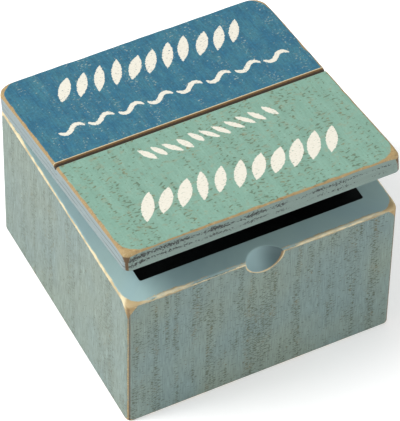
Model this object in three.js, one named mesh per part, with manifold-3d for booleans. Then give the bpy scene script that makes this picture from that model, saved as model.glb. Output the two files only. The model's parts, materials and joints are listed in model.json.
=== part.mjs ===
// A small square keepsake box of painted wood: four mitred wall boards round a floor panel, and a
// flat lid on two butt hinges across the back, standing a little open.
// Units are millimetres, +Z is up and the front faces -Y. The origin is the centre of the underside.
import * as THREE from "three";
import { mergeVertices } from "three/addons/utils/BufferGeometryUtils.js";
import Module from "manifold-3d";

const wasm = await Module();
wasm.setup();

// Box: outer size, boards and sanded edges, the corners at the back sanded rounder
const BOX_WIDTH = 101.6;
const BOX_DEPTH = 101.6;
const BOX_HEIGHT = 60.5;
const WALL_THICKNESS = 8.8;
const FLOOR_THICKNESS = 5;
const BOX_FRONT_CORNER_RADIUS = 2.3;
const BOX_BACK_CORNER_RADIUS = 4;
const BOX_EDGE_RADIUS = 0.9;

// Thumb scoop in the front wall's top edge: a bite of a ball, its width at the outer face and how
// far it reaches back into the top edge
const SCOOP_WIDTH = 13.8;
const SCOOP_REACH = 4.6;

// Lid board, with a V groove across its top
const LID_THICKNESS = 7.8;
const LID_SIDE_OVERHANG = 0.4;
const LID_FRONT_OVERHANG = 0.8;
const LID_FRONT_CORNER_RADIUS = 2.6;
const LID_BACK_CORNER_RADIUS = 5.5;
const LID_EDGE_RADIUS = 0.9;
const GROOVE_FROM_FRONT = 53.4;
const GROOVE_WIDTH = 2.4;
const GROOVE_DEPTH = 1.3;

// How the lid stands: the gap it keeps over the walls when shut, and how far it is open at rest
const SEAM_GAP = 0.3;
const AJAR_DEGREES = 9.2;

// Hinges, screwed flat on the back of the box and on the lid's back edge, each with its middle a
// fixed way in from the end of the back
const HINGE_INSET = 24.8;
const LEAF_LENGTH = 18;
const LEAF_THICKNESS = 0.8;
const LEAF_CORNER_RADIUS = 1.2;
const LEAF_EDGE_MARGIN = 2;
const KNUCKLE_COUNT = 3;
const KNUCKLE_WALL = 0.65;
const KNUCKLE_GAP = 0.3;
const PIN_RADIUS = 0.7;
const PIN_CLEARANCE = 0.15;
const PIN_HEAD_RADIUS = 1.15;
const PIN_HEAD_LENGTH = 0.4;

// Screws, countersunk in the leaves, each a fixed way in from a leaf's end
const SCREW_INSET = 3.75;
const SCREW_SHANK_RADIUS = 0.7;
const SCREW_HEAD_RADIUS = 1.45;
const SCREW_HEAD_RISE = 0.2;
const SCREW_SLOT_WIDTH = 0.4;
const SCREW_SLOT_DEPTH = 0.3;
const SCREW_POINT_LENGTH = 1.2;
const SCREW_CLEARANCE = 0.2;
const SCREW_TIP_COVER = 2.6;

// Space kept between a piece and a neighbour that it rests on inside the turned lid
const TURNED_GAP = 0.3;

// Fineness of the round forms
const CORNER_STEPS = 6;
const EDGE_STEPS = 3;
const BALL_STEPS = 40;
const KNUCKLE_SIDES = 24;
const SCREW_SIDES = 16;

// How far a cutting shape runs past the face that it cuts
const CUT_PAST = 3;

// Places worked out from the sizes above
const inner = { x: BOX_WIDTH / 2 - WALL_THICKNESS, y: BOX_DEPTH / 2 - WALL_THICKNESS };
const knuckleBore = PIN_RADIUS + PIN_CLEARANCE;
const knuckleRadius = knuckleBore + KNUCKLE_WALL;
const pinAxis = { y: BOX_DEPTH / 2 + knuckleRadius, z: BOX_HEIGHT + SEAM_GAP / 2 };
const lidUnderside = SEAM_GAP / 2;
const leafReach = lidUnderside + LID_THICKNESS - LEAF_EDGE_MARGIN;
const leafInnerEdge = knuckleRadius + KNUCKLE_GAP;
const screwHeight = (leafInnerEdge + leafReach) / 2;
const screwLength = WALL_THICKNESS - SCREW_TIP_COVER;

// Finishes
const finishes = {
  box: { color: 0x7d938f, roughness: 0.72, metalness: 0 },
  floor: { color: 0x0e0f10, roughness: 0.85, metalness: 0 },
  lid: { color: 0x5a96a0, roughness: 0.68, metalness: 0 },
  brass: { color: 0x8f7a45, roughness: 0.42, metalness: 1 },
};

// Solids and booleans

/** Turns a closed three.js geometry into a solid. */
function solidOf(geometry) {
  const bare = geometry.clone();
  bare.deleteAttribute("normal");
  bare.deleteAttribute("uv");
  const merged = mergeVertices(bare, 1e-4);
  return new wasm.Manifold(
    new wasm.Mesh({
      numProp: 3,
      vertProperties: new Float32Array(merged.attributes.position.array),
      triVerts: new Uint32Array(merged.index.array),
    }),
  );
}

/** Turns a solid back into a three.js geometry with flat faces. */
function geometryOf(solid) {
  const mesh = solid.getMesh();
  const indexed = new THREE.BufferGeometry();
  indexed.setAttribute("position", new THREE.BufferAttribute(mesh.vertProperties, mesh.numProp));
  indexed.setIndex(new THREE.BufferAttribute(mesh.triVerts, 1));
  const flat = indexed.toNonIndexed();
  flat.computeVertexNormals();
  return flat;
}

/** Cuts each of the tools out of a solid. */
function cut(solid, tools) {
  return tools.reduce((left, tool) => left.subtract(tool), solid);
}

/** Makes a named mesh with a finish of its own. */
function piece(name, solid, finish) {
  const mesh = new THREE.Mesh(geometryOf(solid), new THREE.MeshStandardMaterial(finish));
  mesh.name = name;
  return mesh;
}

// Plain shapes

/** A rectangle with rounded corners, centred on the origin. Those on +Y have a radius of their own. */
function roundedRectangle(width, height, radius, farRadius = radius) {
  const near = { x: width / 2 - radius, y: radius - height / 2 };
  const far = { x: width / 2 - farRadius, y: height / 2 - farRadius };
  const shape = new THREE.Shape();
  shape.absarc(near.x, near.y, radius, -Math.PI / 2, 0);
  shape.absarc(far.x, far.y, farRadius, 0, Math.PI / 2);
  shape.absarc(-far.x, far.y, farRadius, Math.PI / 2, Math.PI);
  shape.absarc(-near.x, near.y, radius, Math.PI, 1.5 * Math.PI);
  shape.closePath();
  return shape;
}

/** A flat shape given by its corners. */
function polygon(corners) {
  return new THREE.Shape(corners.map(([x, y]) => new THREE.Vector2(x, y)));
}

/** A board standing on z = 0 whose outline is given, its long edges rounded by sanding. */
function sandedBoard(outline, thickness, edgeRadius) {
  const geometry = new THREE.ExtrudeGeometry(outline, {
    depth: thickness - 2 * edgeRadius,
    curveSegments: CORNER_STEPS,
    bevelThickness: edgeRadius,
    bevelSize: edgeRadius,
    bevelOffset: -edgeRadius,
    bevelSegments: EDGE_STEPS,
  });
  return geometry.translate(0, 0, edgeRadius);
}

/** A plain prism of a flat shape, from z = from to z = to. */
function prism(shape, from, to) {
  const geometry = new THREE.ExtrudeGeometry(shape, {
    depth: to - from,
    curveSegments: CORNER_STEPS,
    bevelEnabled: false,
  });
  return geometry.translate(0, 0, from);
}

/** A rod along X between two places. */
function rodAlongX(radius, from, to) {
  const geometry = new THREE.CylinderGeometry(radius, radius, to - from, KNUCKLE_SIDES);
  return geometry.rotateZ(-Math.PI / 2).translate((from + to) / 2, 0, 0);
}

// Box

/** The whole walled block, from which the four boards are parted at the mitres. */
const sandedBlock = solidOf(
  sandedBoard(
    roundedRectangle(BOX_WIDTH, BOX_DEPTH, BOX_FRONT_CORNER_RADIUS, BOX_BACK_CORNER_RADIUS),
    BOX_HEIGHT,
    BOX_EDGE_RADIUS,
  ),
);

/** One wall: the part of the block between two mitre planes and the inner face. */
function wallBoard(alongX, side) {
  const outer = { x: BOX_WIDTH / 2 + CUT_PAST, y: BOX_DEPTH / 2 + CUT_PAST };
  const corners = alongX
    ? [
        [-outer.x, side * outer.y],
        [outer.x, side * outer.y],
        [inner.x, side * inner.y],
        [-inner.x, side * inner.y],
      ]
    : [
        [side * outer.x, -outer.y],
        [side * outer.x, outer.y],
        [side * inner.x, inner.y],
        [side * inner.x, -inner.y],
      ];
  const wedge = prism(polygon(corners), -CUT_PAST, BOX_HEIGHT + CUT_PAST);
  return sandedBlock.intersect(solidOf(wedge));
}

/** The ball that bites the thumb scoop, level with the wall's top and standing proud of its face. */
function scoopBall() {
  const halfWidth = SCOOP_WIDTH / 2;
  const radius = (halfWidth ** 2 + SCOOP_REACH ** 2) / (2 * SCOOP_REACH);
  const ball = new THREE.SphereGeometry(radius, BALL_STEPS, BALL_STEPS / 2);
  return ball.translate(0, -BOX_DEPTH / 2 - (radius - SCOOP_REACH), BOX_HEIGHT);
}

/** The floor panel, held between the walls and flush with their undersides. */
function floorPanel() {
  const shape = polygon([
    [-inner.x, -inner.y],
    [inner.x, -inner.y],
    [inner.x, inner.y],
    [-inner.x, inner.y],
  ]);
  return solidOf(prism(shape, 0, FLOOR_THICKNESS));
}

// Screws, made about their own axis: the point towards -Y and the rim of the head at y = 0

/** A countersunk screw with a slotted head whose rim is bevelled. */
function screw() {
  const taper = SCREW_HEAD_RADIUS - SCREW_SHANK_RADIUS;
  const shankEnd = LEAF_THICKNESS + screwLength - SCREW_POINT_LENGTH;
  const profile = [
    [0, -shankEnd - SCREW_POINT_LENGTH],
    [SCREW_SHANK_RADIUS, -shankEnd],
    [SCREW_SHANK_RADIUS, -taper],
    [SCREW_HEAD_RADIUS, 0],
    [SCREW_HEAD_RADIUS - SCREW_HEAD_RISE, SCREW_HEAD_RISE],
    [0, SCREW_HEAD_RISE],
  ].map(([r, y]) => new THREE.Vector2(r, y));
  const slotBottom = SCREW_HEAD_RISE - SCREW_SLOT_DEPTH;
  const slot = new THREE.BoxGeometry(SCREW_SLOT_WIDTH, CUT_PAST, 2 * SCREW_HEAD_RADIUS + CUT_PAST);
  slot.translate(0, slotBottom + CUT_PAST / 2, 0);
  return cut(solidOf(new THREE.LatheGeometry(profile, SCREW_SIDES)), [solidOf(slot)]);
}

/** The hole that a screw needs through a leaf and into the wood, with room all round it. */
function screwHole() {
  const radius = SCREW_SHANK_RADIUS + SCREW_CLEARANCE;
  const mouth = SCREW_HEAD_RADIUS + SCREW_CLEARANCE;
  const depth = LEAF_THICKNESS + screwLength + SCREW_CLEARANCE;
  const profile = [
    [0, -depth - SCREW_CLEARANCE],
    [radius, -depth],
    [radius, -(mouth - radius)],
    [mouth, 0],
    [mouth, CUT_PAST],
    [0, CUT_PAST],
  ].map(([r, y]) => new THREE.Vector2(r, y));
  return solidOf(new THREE.LatheGeometry(profile, SCREW_SIDES));
}

/** Where a hinge's two screws stand in the hinge's frame, for a leaf that lies gap off the wood. */
function screwPlaces(up, gap) {
  return [-1, 1].map((end) => ({
    x: end * (LEAF_LENGTH / 2 - SCREW_INSET),
    y: -knuckleRadius + gap + LEAF_THICKNESS,
    z: up * screwHeight,
  }));
}

// Hinges, made in their own frame: the pin runs along X through the origin

/** The stretches of the pin that each knuckle covers, from one end of the leaf to the other. */
const knuckles = Array.from({ length: KNUCKLE_COUNT }, (_, k) => {
  const pitch = (LEAF_LENGTH + KNUCKLE_GAP) / KNUCKLE_COUNT;
  const from = -LEAF_LENGTH / 2 + k * pitch;
  return { from, to: from + pitch - KNUCKLE_GAP, onLid: k % 2 === 1 };
});

/** One leaf with its knuckles, standing up from the pin (up = 1) or hanging from it (up = -1). */
function leaf(up, gap) {
  const own = knuckles.filter((knuckle) => knuckle.onLid === up > 0);
  const back = -knuckleRadius + gap;
  const height = leafReach - leafInnerEdge;
  const plate = prism(
    roundedRectangle(LEAF_LENGTH, height, LEAF_CORNER_RADIUS),
    0,
    LEAF_THICKNESS,
  );
  plate.rotateX(Math.PI / 2).translate(0, back + LEAF_THICKNESS, up * (leafInnerEdge + height / 2));
  const webReach = leafInnerEdge + LEAF_CORNER_RADIUS;
  const joined = own.reduce((solid, { from, to }) => {
    const web = new THREE.BoxGeometry(to - from, LEAF_THICKNESS, webReach);
    web.translate((from + to) / 2, back + LEAF_THICKNESS / 2, (up * webReach) / 2);
    return solid.add(solidOf(web)).add(solidOf(rodAlongX(knuckleRadius, from, to)));
  }, solidOf(plate));
  const bore = solidOf(rodAlongX(knuckleBore, -LEAF_LENGTH, LEAF_LENGTH));
  const holes = screwPlaces(up, gap).map(({ x, y, z }) => screwHole().translate([x, y, z]));
  return cut(joined, [bore, ...holes]);
}

/** The pin, with a riveted head against each end of the outer knuckles. */
function hingePin() {
  const end = LEAF_LENGTH / 2;
  const shaft = solidOf(rodAlongX(PIN_RADIUS, -end - PIN_HEAD_LENGTH, end + PIN_HEAD_LENGTH));
  const heads = [-1, 1].map((side) => {
    const [from, to] = [side * end, side * (end + PIN_HEAD_LENGTH)].sort((a, b) => a - b);
    return solidOf(rodAlongX(PIN_HEAD_RADIUS, from, to));
  });
  return shaft.add(heads[0]).add(heads[1]);
}

const hinges = [
  { side: "left", x: -(BOX_WIDTH / 2 - HINGE_INSET) },
  { side: "right", x: BOX_WIDTH / 2 - HINGE_INSET },
];

/** The holes that all the screws of one leaf row make in the wood, in the frame of the pin line. */
function pilotHoles(up, gap) {
  return hinges.flatMap((hinge) =>
    screwPlaces(up, gap).map(({ x, y, z }) => screwHole().translate([hinge.x + x, y, z])),
  );
}

/** Adds the two screws of one leaf to a group, at their places along the pin line. */
function addScrews(group, { side, x: hingeX }, owner, up, gap) {
  screwPlaces(up, gap).forEach(({ x, y, z }, k) => {
    const mesh = piece(`${side}_hinge_${owner}_screw_${k + 1}`, screw(), finishes.brass);
    mesh.position.set(hingeX + x, y, z);
    group.add(mesh);
  });
}

// The box, its half of the hinges and the pins

const box = new THREE.Group();
box.name = "box";

const onPinLine = new THREE.Group();
onPinLine.position.set(0, pinAxis.y, pinAxis.z);
box.add(onPinLine);

const boxPilotHoles = pilotHoles(-1, 0).map((hole) => hole.translate([0, pinAxis.y, pinAxis.z]));
box.add(
  piece("front_wall", cut(wallBoard(true, -1), [solidOf(scoopBall())]), finishes.box),
  piece("back_wall", cut(wallBoard(true, 1), boxPilotHoles), finishes.box),
  piece("left_wall", wallBoard(false, -1), finishes.box),
  piece("right_wall", wallBoard(false, 1), finishes.box),
  piece("floor_panel", floorPanel(), finishes.floor),
);

for (const hinge of hinges) {
  const boxLeaf = piece(`${hinge.side}_hinge_box_leaf`, leaf(-1, 0), finishes.brass);
  const pin = piece(`${hinge.side}_hinge_pin`, hingePin(), finishes.brass);
  boxLeaf.position.x = hinge.x;
  pin.position.x = hinge.x;
  onPinLine.add(boxLeaf, pin);
  addScrews(onPinLine, hinge, "box", -1, 0);
}

// The lid and its half of the hinges, turned open about the pin line

/** The lid board in the pin line's frame, with its groove and its pilot holes. */
function lidBoard() {
  const width = BOX_WIDTH + 2 * LID_SIDE_OVERHANG;
  const depth = BOX_DEPTH + LID_FRONT_OVERHANG;
  const back = -knuckleRadius;
  const outline = roundedRectangle(width, depth, LID_FRONT_CORNER_RADIUS, LID_BACK_CORNER_RADIUS);
  const board = sandedBoard(outline, LID_THICKNESS, LID_EDGE_RADIUS);
  board.translate(0, back - depth / 2, lidUnderside);
  const halfMouth = (GROOVE_WIDTH / 2) * (1 + CUT_PAST / GROOVE_DEPTH);
  const vee = polygon([
    [0, -GROOVE_DEPTH],
    [halfMouth, CUT_PAST],
    [-halfMouth, CUT_PAST],
  ]);
  const groove = prism(vee, -width, width);
  groove.rotateX(Math.PI / 2).rotateZ(Math.PI / 2);
  groove.translate(0, back - depth + GROOVE_FROM_FRONT, lidUnderside + LID_THICKNESS);
  return cut(solidOf(board), [solidOf(groove), ...pilotHoles(1, TURNED_GAP)]);
}

const lid = new THREE.Group();
lid.name = "lid";
lid.position.set(0, pinAxis.y, pinAxis.z);
lid.rotation.x = -THREE.MathUtils.degToRad(AJAR_DEGREES);
lid.add(piece("lid_board", lidBoard(), finishes.lid));

for (const hinge of hinges) {
  const lidLeaf = piece(`${hinge.side}_hinge_lid_leaf`, leaf(1, TURNED_GAP), finishes.brass);
  lidLeaf.position.x = hinge.x;
  lid.add(lidLeaf);
  addScrews(lid, hinge, "lid", 1, TURNED_GAP);
}

const keepsakeBox = new THREE.Group();
keepsakeBox.add(box, lid);

export default keepsakeBox;
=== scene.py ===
"""The looks of a small square keepsake box of painted wood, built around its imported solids.

The walls and the lid board are surfaces worked out on grids, sanded through to bare wood along
their edges. Sizes are millimetres, and the meshes are metres.
"""

import json
import logging
import math
from dataclasses import dataclass, field
from enum import Enum
from itertools import pairwise
from typing import Any, Sequence

import bpy
import numpy as np
from mathutils import Matrix, Vector


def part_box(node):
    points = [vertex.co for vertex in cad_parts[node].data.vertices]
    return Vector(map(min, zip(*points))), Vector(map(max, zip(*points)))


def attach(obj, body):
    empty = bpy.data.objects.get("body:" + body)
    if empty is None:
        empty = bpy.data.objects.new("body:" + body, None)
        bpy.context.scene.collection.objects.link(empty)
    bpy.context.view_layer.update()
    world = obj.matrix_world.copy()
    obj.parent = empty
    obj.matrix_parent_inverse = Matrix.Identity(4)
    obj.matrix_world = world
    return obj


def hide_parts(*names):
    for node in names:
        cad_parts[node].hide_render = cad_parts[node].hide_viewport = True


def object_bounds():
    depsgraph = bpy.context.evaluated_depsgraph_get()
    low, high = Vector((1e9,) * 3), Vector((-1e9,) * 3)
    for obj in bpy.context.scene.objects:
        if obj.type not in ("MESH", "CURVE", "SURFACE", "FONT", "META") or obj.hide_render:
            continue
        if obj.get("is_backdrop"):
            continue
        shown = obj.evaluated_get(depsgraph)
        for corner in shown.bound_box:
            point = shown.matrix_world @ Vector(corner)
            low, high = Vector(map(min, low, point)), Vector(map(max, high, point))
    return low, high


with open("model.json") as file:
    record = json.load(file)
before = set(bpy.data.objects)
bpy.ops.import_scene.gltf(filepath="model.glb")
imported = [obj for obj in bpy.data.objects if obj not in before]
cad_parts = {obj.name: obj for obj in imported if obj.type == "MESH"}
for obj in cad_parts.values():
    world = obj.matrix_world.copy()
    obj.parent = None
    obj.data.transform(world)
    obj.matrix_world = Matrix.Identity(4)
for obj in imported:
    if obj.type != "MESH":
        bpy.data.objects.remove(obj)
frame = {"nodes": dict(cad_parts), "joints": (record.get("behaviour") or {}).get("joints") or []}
cad_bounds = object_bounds()

log = logging.getLogger("keepsake_box")

MM = 0.001
SEED = 41
# Keeps a division off zero
TINY = 1e-9
# How far short of a square corner a rounded one falls, for each unit of its radius
BLUNTING = math.sqrt(2) - 1

Colour = tuple[float, float, float, float]
Array = np.ndarray
Socket = bpy.types.NodeSocket
Material = bpy.types.Material
Piece = bpy.types.Object
Stops = Sequence[tuple[float, float]]


def paint_chip(*shares: int) -> Colour:
    """A colour as a painter's chip shows it, turned into the linear light that shaders use.

    Args:
        shares: The shares of red, green and blue, 0 to 255.

    Returns:
        The linear colour, opaque.
    """
    chip = np.array(shares) / 255
    linear = np.where(chip <= 0.04045, chip / 12.92, ((chip + 0.055) / 1.055) ** 2.4)
    return (*linear.tolist(), 1.0)


# Grids and meshes

UNROLLED = "unrolled"
SHARP_ANGLE = math.radians(50)
SINES = 14
WEAKENING = -0.25


def spaced(stops: Stops) -> Array:
    """Places along a line, closer together where more detail is wanted.

    Args:
        stops: Pairs of a place and the step from there to the next place. The last step is unused.

    Returns:
        The places in order, each stop among them once.
    """
    runs = []
    for (start, step), (end, _) in pairwise(stops):
        count = max(1, round((end - start) / step))
        runs.append(np.linspace(start, end, count, endpoint=False))
    runs.append(np.array([stops[-1][0]]))
    return np.concatenate(runs)


def wobble(along: Array, length: float, waves: int, seed: int) -> Array:
    """A smooth irregular line that closes on itself: a sum of sines, the finer the weaker.

    Args:
        along: Places along the line.
        length: The line's whole length, after which it repeats.
        waves: How many waves the finest sine has in that length.
        seed: Picks the sines' phases and strengths.

    Returns:
        Values mostly between -1 and 1.
    """
    random = np.random.default_rng(SEED + seed)
    pitches = np.unique(np.geomspace(2, waves, SINES).astype(int))
    phases = random.uniform(0, 2 * math.pi, len(pitches))
    strengths = random.uniform(0.4, 1.0, len(pitches)) * (pitches / pitches[0]) ** WEAKENING
    sines = np.sin(2 * math.pi * along[..., None] * pitches / length + phases)
    return (sines * strengths).sum(-1) / math.sqrt((strengths**2).sum())


def ring_faces(rows: Array) -> Array:
    """Joins rows of corner numbers into four-sided faces, each row closed on itself.

    Args:
        rows: Corner numbers, one row for each ring, running anticlockwise seen from outside.

    Returns:
        Faces as an array of four corner numbers each.
    """
    after = np.roll(rows, -1, axis=1)
    quads = np.stack([rows[:-1], after[:-1], after[1:], rows[1:]], axis=-1)
    return quads.reshape(-1, 4)


def inside_rounded(places: Array, half: Array, radius: float) -> Array:
    """How far places lie inside a rectangle with rounded corners, centred on the origin.

    Past both sides' last straight places, it is the radius less the distance to the corner's
    middle. Elsewhere it is the distance to the nearer side.

    Args:
        places: x and y of each place.
        half: Half the rectangle's width and depth.
        radius: Its corners' radius.

    Returns:
        The distances, negative outside.
    """
    past = abs(places) - (half - radius)
    far = np.where(past.min(-1) > 0, np.hypot(past[..., 0], past[..., 1]), past.max(-1))
    return radius - far


@dataclass
class Skin:
    """A closed surface as whole arrays, ready to become a mesh."""

    points: Array
    faces: list[Array]
    finishes: list[Array]
    measures: dict[str, Array] = field(default_factory=dict)
    unrolled: Array | None = None

    def to_object(self, name: str, materials: Sequence[Material]) -> Piece:
        """Makes the mesh and its object, shaded smooth except across real arrises.

        Args:
            name: The piece's name.
            materials: Its materials, in the order that finishes counts them.

        Returns:
            The object, at the origin.
        """
        mesh = bpy.data.meshes.new(name)
        corners = [face for block in self.faces for face in block.tolist()]
        mesh.from_pydata((self.points * MM).tolist(), [], corners)
        for material in materials:
            mesh.materials.append(material)
        mesh.polygons.foreach_set("material_index", np.concatenate(self.finishes).astype(np.int32))
        for label, values in self.measures.items():
            kind, key = ("FLOAT_VECTOR", "vector") if values.ndim == 2 else ("FLOAT", "value")
            layer = mesh.attributes.new(label, kind, "POINT")
            layer.data.foreach_set(key, values.astype(np.float32).ravel())
        if self.unrolled is not None:
            layer = mesh.uv_layers.new(name=UNROLLED)
            layer.uv.foreach_set("vector", self.unrolled.astype(np.float32).ravel())
        mesh.shade_smooth()
        mesh.set_sharp_from_angle(angle=SHARP_ANGLE)
        mesh.update()
        mesh.validate()
        piece = bpy.data.objects.new(name, mesh)
        bpy.context.scene.collection.objects.link(piece)
        return piece


# Shader maths


class Value:
    """A shader socket that holds a number, with Python's operators adding its Math nodes."""

    def __init__(self, recipe: "Recipe", socket: Socket) -> None:
        """Keeps the socket and the recipe that it is in."""
        self.recipe = recipe
        self.socket = socket

    def math(self, operation: str, *others: "Value | float") -> "Value":
        """Adds one Math node, which takes self first and then the others."""
        inputs = dict(enumerate((self, *others)))
        return self.recipe.value("ShaderNodeMath", {"operation": operation}, inputs)

    def __add__(self, other: "Value | float") -> "Value":
        """self + other."""
        return self.math("ADD", other)

    __radd__ = __add__

    def __mul__(self, other: "Value | float") -> "Value":
        """self * other."""
        return self.math("MULTIPLY", other)

    __rmul__ = __mul__

    def __sub__(self, other: "Value | float") -> "Value":
        """self - other."""
        return self.math("SUBTRACT", other)

    def __rsub__(self, other: float) -> "Value":
        """other - self, as other + self * -1."""
        return self.math("MULTIPLY_ADD", -1.0, other)

    def __abs__(self) -> "Value":
        """The size of self."""
        return self.math("ABSOLUTE")

    def __or__(self, other: "Value") -> "Value":
        """The larger of two masks."""
        return self.math("MAXIMUM", other)

    def above(self, level: "Value | float", soft: float) -> "Value":
        """A mask that rises smoothly from 0 to 1, from soft below a level to soft above it."""
        inputs = {"Value": self - level, "From Min": -soft, "From Max": soft}
        return self.recipe.value("ShaderNodeMapRange", {"interpolation_type": "SMOOTHSTEP"}, inputs)

    def below(self, level: "Value | float", soft: float) -> "Value":
        """The mask that above() gives, turned round."""
        return 1 - self.above(level, soft)


class Recipe:
    """One material's nodes, and the few ways in which they are added."""

    def __init__(self, name: str) -> None:
        """Starts a material with its main shader."""
        self.material = bpy.data.materials.new(name)
        self.material.use_nodes = True
        self.tree = self.material.node_tree
        self.shader = next(n for n in self.tree.nodes if n.type == "BSDF_PRINCIPLED")

    def node(
        self,
        kind: str,
        settings: dict[str, Any] | None = None,
        inputs: dict[str | int, Any] | None = None,
    ) -> bpy.types.Node:
        """Adds one node.

        Args:
            kind: The node's type.
            settings: Its settings, such as an operation.
            inputs: Values, colours or links for its sockets, by name or number.

        Returns:
            The node.
        """
        made = self.tree.nodes.new(kind)
        for key, value in (settings or {}).items():
            setattr(made, key, value)
        for key, value in (inputs or {}).items():
            self.feed(made.inputs[key], value)
        return made

    def value(self, kind: str, settings: dict[str, Any], inputs: dict[str | int, Any]) -> Value:
        """Adds one node as node() does, and wraps its first output."""
        return Value(self, self.node(kind, settings, inputs).outputs[0])

    def feed(self, socket: Socket, value: Any) -> None:
        """Links a socket, or sets its value."""
        source = value.socket if isinstance(value, Value) else value
        if isinstance(source, Socket):
            self.tree.links.new(source, socket)
        else:
            socket.default_value = source

    def finish(self, **inputs: Any) -> Material:
        """Feeds the main shader, its sockets named with _ for a space.

        Args:
            inputs: Values or links by socket.

        Returns:
            The material.
        """
        for key, value in inputs.items():
            self.feed(self.shader.inputs[key.replace("_", " ")], value)
        return self.material

    def unrolled(self) -> Socket:
        """Places on the unrolled surface: along the piece and across it, in millimetres."""
        return self.node("ShaderNodeUVMap", {"uv_map": UNROLLED}).outputs[0]

    def place(self) -> Socket:
        """Places on the object, in millimetres."""
        return self.stretch(self.node("ShaderNodeTexCoord").outputs["Object"], *[1 / MM] * 3)

    def vector_measure(self, label: str, output: str = "Vector") -> Socket:
        """A vector that the mesh carries."""
        return self.node("ShaderNodeAttribute", {"attribute_name": label}).outputs[output]

    def measure(self, label: str) -> Value:
        """A number that the mesh carries."""
        return Value(self, self.vector_measure(label, "Fac"))

    def parts(self, vector: Socket) -> list[Value]:
        """The three numbers of a vector."""
        made = self.node("ShaderNodeSeparateXYZ", None, {0: vector})
        return [Value(self, made.outputs[k]) for k in range(3)]

    def stretch(self, vector: Socket, x: float, y: float, z: float = 0.0) -> Socket:
        """A vector with each part scaled on its own."""
        inputs = {0: vector, 1: (x, y, z)}
        return self.node("ShaderNodeVectorMath", {"operation": "MULTIPLY"}, inputs).outputs[0]

    def noise(
        self, places: Socket, pitch: Sequence[float], detail: float = 2.0, rough: float = 0.6
    ) -> Value:
        """Soft irregular noise around one half.

        Args:
            places: Where it is read.
            pitch: How many blobs there are to a millimetre along each axis.
            detail: How many finer layers lie on the first.
            rough: How strong the finer layers are.

        Returns:
            The noise.
        """
        vector = self.stretch(places, *pitch)
        inputs = {"Vector": vector, "Scale": 1.0, "Detail": detail, "Roughness": rough}
        return self.value("ShaderNodeTexNoise", {"noise_dimensions": "3D"}, inputs)

    def mix(self, mask: Value | float, base: Any, over: Any, way: str = "MIX") -> Socket:
        """Lays one colour over another, as much of it as the mask shows."""
        settings = {"data_type": "RGBA", "blend_type": way}
        return self.node("ShaderNodeMix", settings, {0: mask, 6: base, 7: over}).outputs[2]

    def shade(self, colour: Any, level: Value) -> Socket:
        """A colour made lighter or darker by a number around one."""
        grey = self.node("ShaderNodeCombineXYZ", None, {0: level, 1: level, 2: level})
        return self.mix(1.0, colour, grey.outputs[0], "MULTIPLY")

    def bump(self, height: Value, depth: float) -> Socket:
        """A normal that follows a height map, one unit of which stands up by a depth in mm."""
        inputs = {"Height": height, "Strength": 1.0, "Distance": depth * MM}
        return self.node("ShaderNodeBump", None, inputs).outputs[0]


# Finishes


@dataclass(frozen=True)
class BareWood:
    """The wood that shows where the paint is sanded through."""

    tan: Colour = paint_chip(154, 131, 88)
    cream: Colour = paint_chip(222, 210, 174)
    brown: Colour = paint_chip(118, 92, 58)
    # dark is painted shadow, for one side of the walls' upright corners
    dark: Colour = paint_chip(66, 48, 32)

    def colour(self, recipe: Recipe, places: Socket, pitch: Sequence[float], pale: Value) -> Socket:
        """The wood's colour: tan with a grain, paler where it is rubbed most.

        Args:
            recipe: The material being made.
            places: Where it is read.
            pitch: How many streaks of grain there are to a millimetre along each axis.
            pale: How pale the wood is, 0 to 1.

        Returns:
            The colour.
        """
        streaks = recipe.noise(places, pitch).above(0.37, 0.16)
        return recipe.mix(pale, recipe.mix(streaks, self.brown, self.tan), self.cream)


WOOD = BareWood()


@dataclass(frozen=True)
class SawMarks:
    """What a saw leaves on a board: torn dashes stacked in columns, and fine lines along the grain.

    Places run across the board first and along its grain second, in millimetres.
    """

    column_pitch: float
    dash_length: float
    dash_height: float
    plain: float
    crowding: float
    line_strength: float
    mottle: float = 0.2
    stain: float = 0.12
    strength: float = 0.78
    mark: Colour = paint_chip(66, 74, 56)
    rust: Colour = paint_chip(96, 90, 62)
    rust_from: float = 0.6

    def over(
        self, recipe: Recipe, flat: Socket, paint: Socket, warm: Value, clear: Value | float = 1.0
    ) -> tuple[Socket, Value, Value]:
        """Marks a board's paint: fine lines and a mottle shade it, and wood shows in the dashes.

        There are many dashes in some columns and few in others, and a stain along the full ones.

        Args:
            recipe: The material being made.
            flat: Places on the board.
            paint: The paint's colour.
            warm: Noise that tells the rusty dashes from the dark ones.
            clear: Where there are dashes at all.

        Returns:
            The colour, how strongly the dashes show, and the brightness of the lines, around one.
        """
        noise = recipe.noise
        lined = noise(flat, (0.9, 0.03), 1.0) * 0.15 + noise(flat, (2.3, 0.16)) * 0.85 - 0.5
        mottle = noise(flat, (1.1, 1.0), 2.0, 0.7) - 0.5
        lines = lined * self.line_strength + mottle * self.mottle + 1
        column = noise(flat, (1 / self.column_pitch, 0.011), 1.0, 0.5)
        patch = noise(flat, (0.1, 0.07), 1.0, 0.5)
        crowd = (column * 0.72 + patch * 0.28).above(0.522, 0.075)
        dash = noise(flat, (1 / self.dash_length, 1 / self.dash_height), 1.0, 0.4)
        dash = dash.above(crowd * -self.crowding + self.plain, 0.022) | (crowd * self.stain)
        marks = dash * clear * self.strength
        speck = recipe.mix(warm.above(self.rust_from, 0.08), self.mark, self.rust)
        return recipe.mix(marks, recipe.shade(paint, lines), speck), marks, lines


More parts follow.
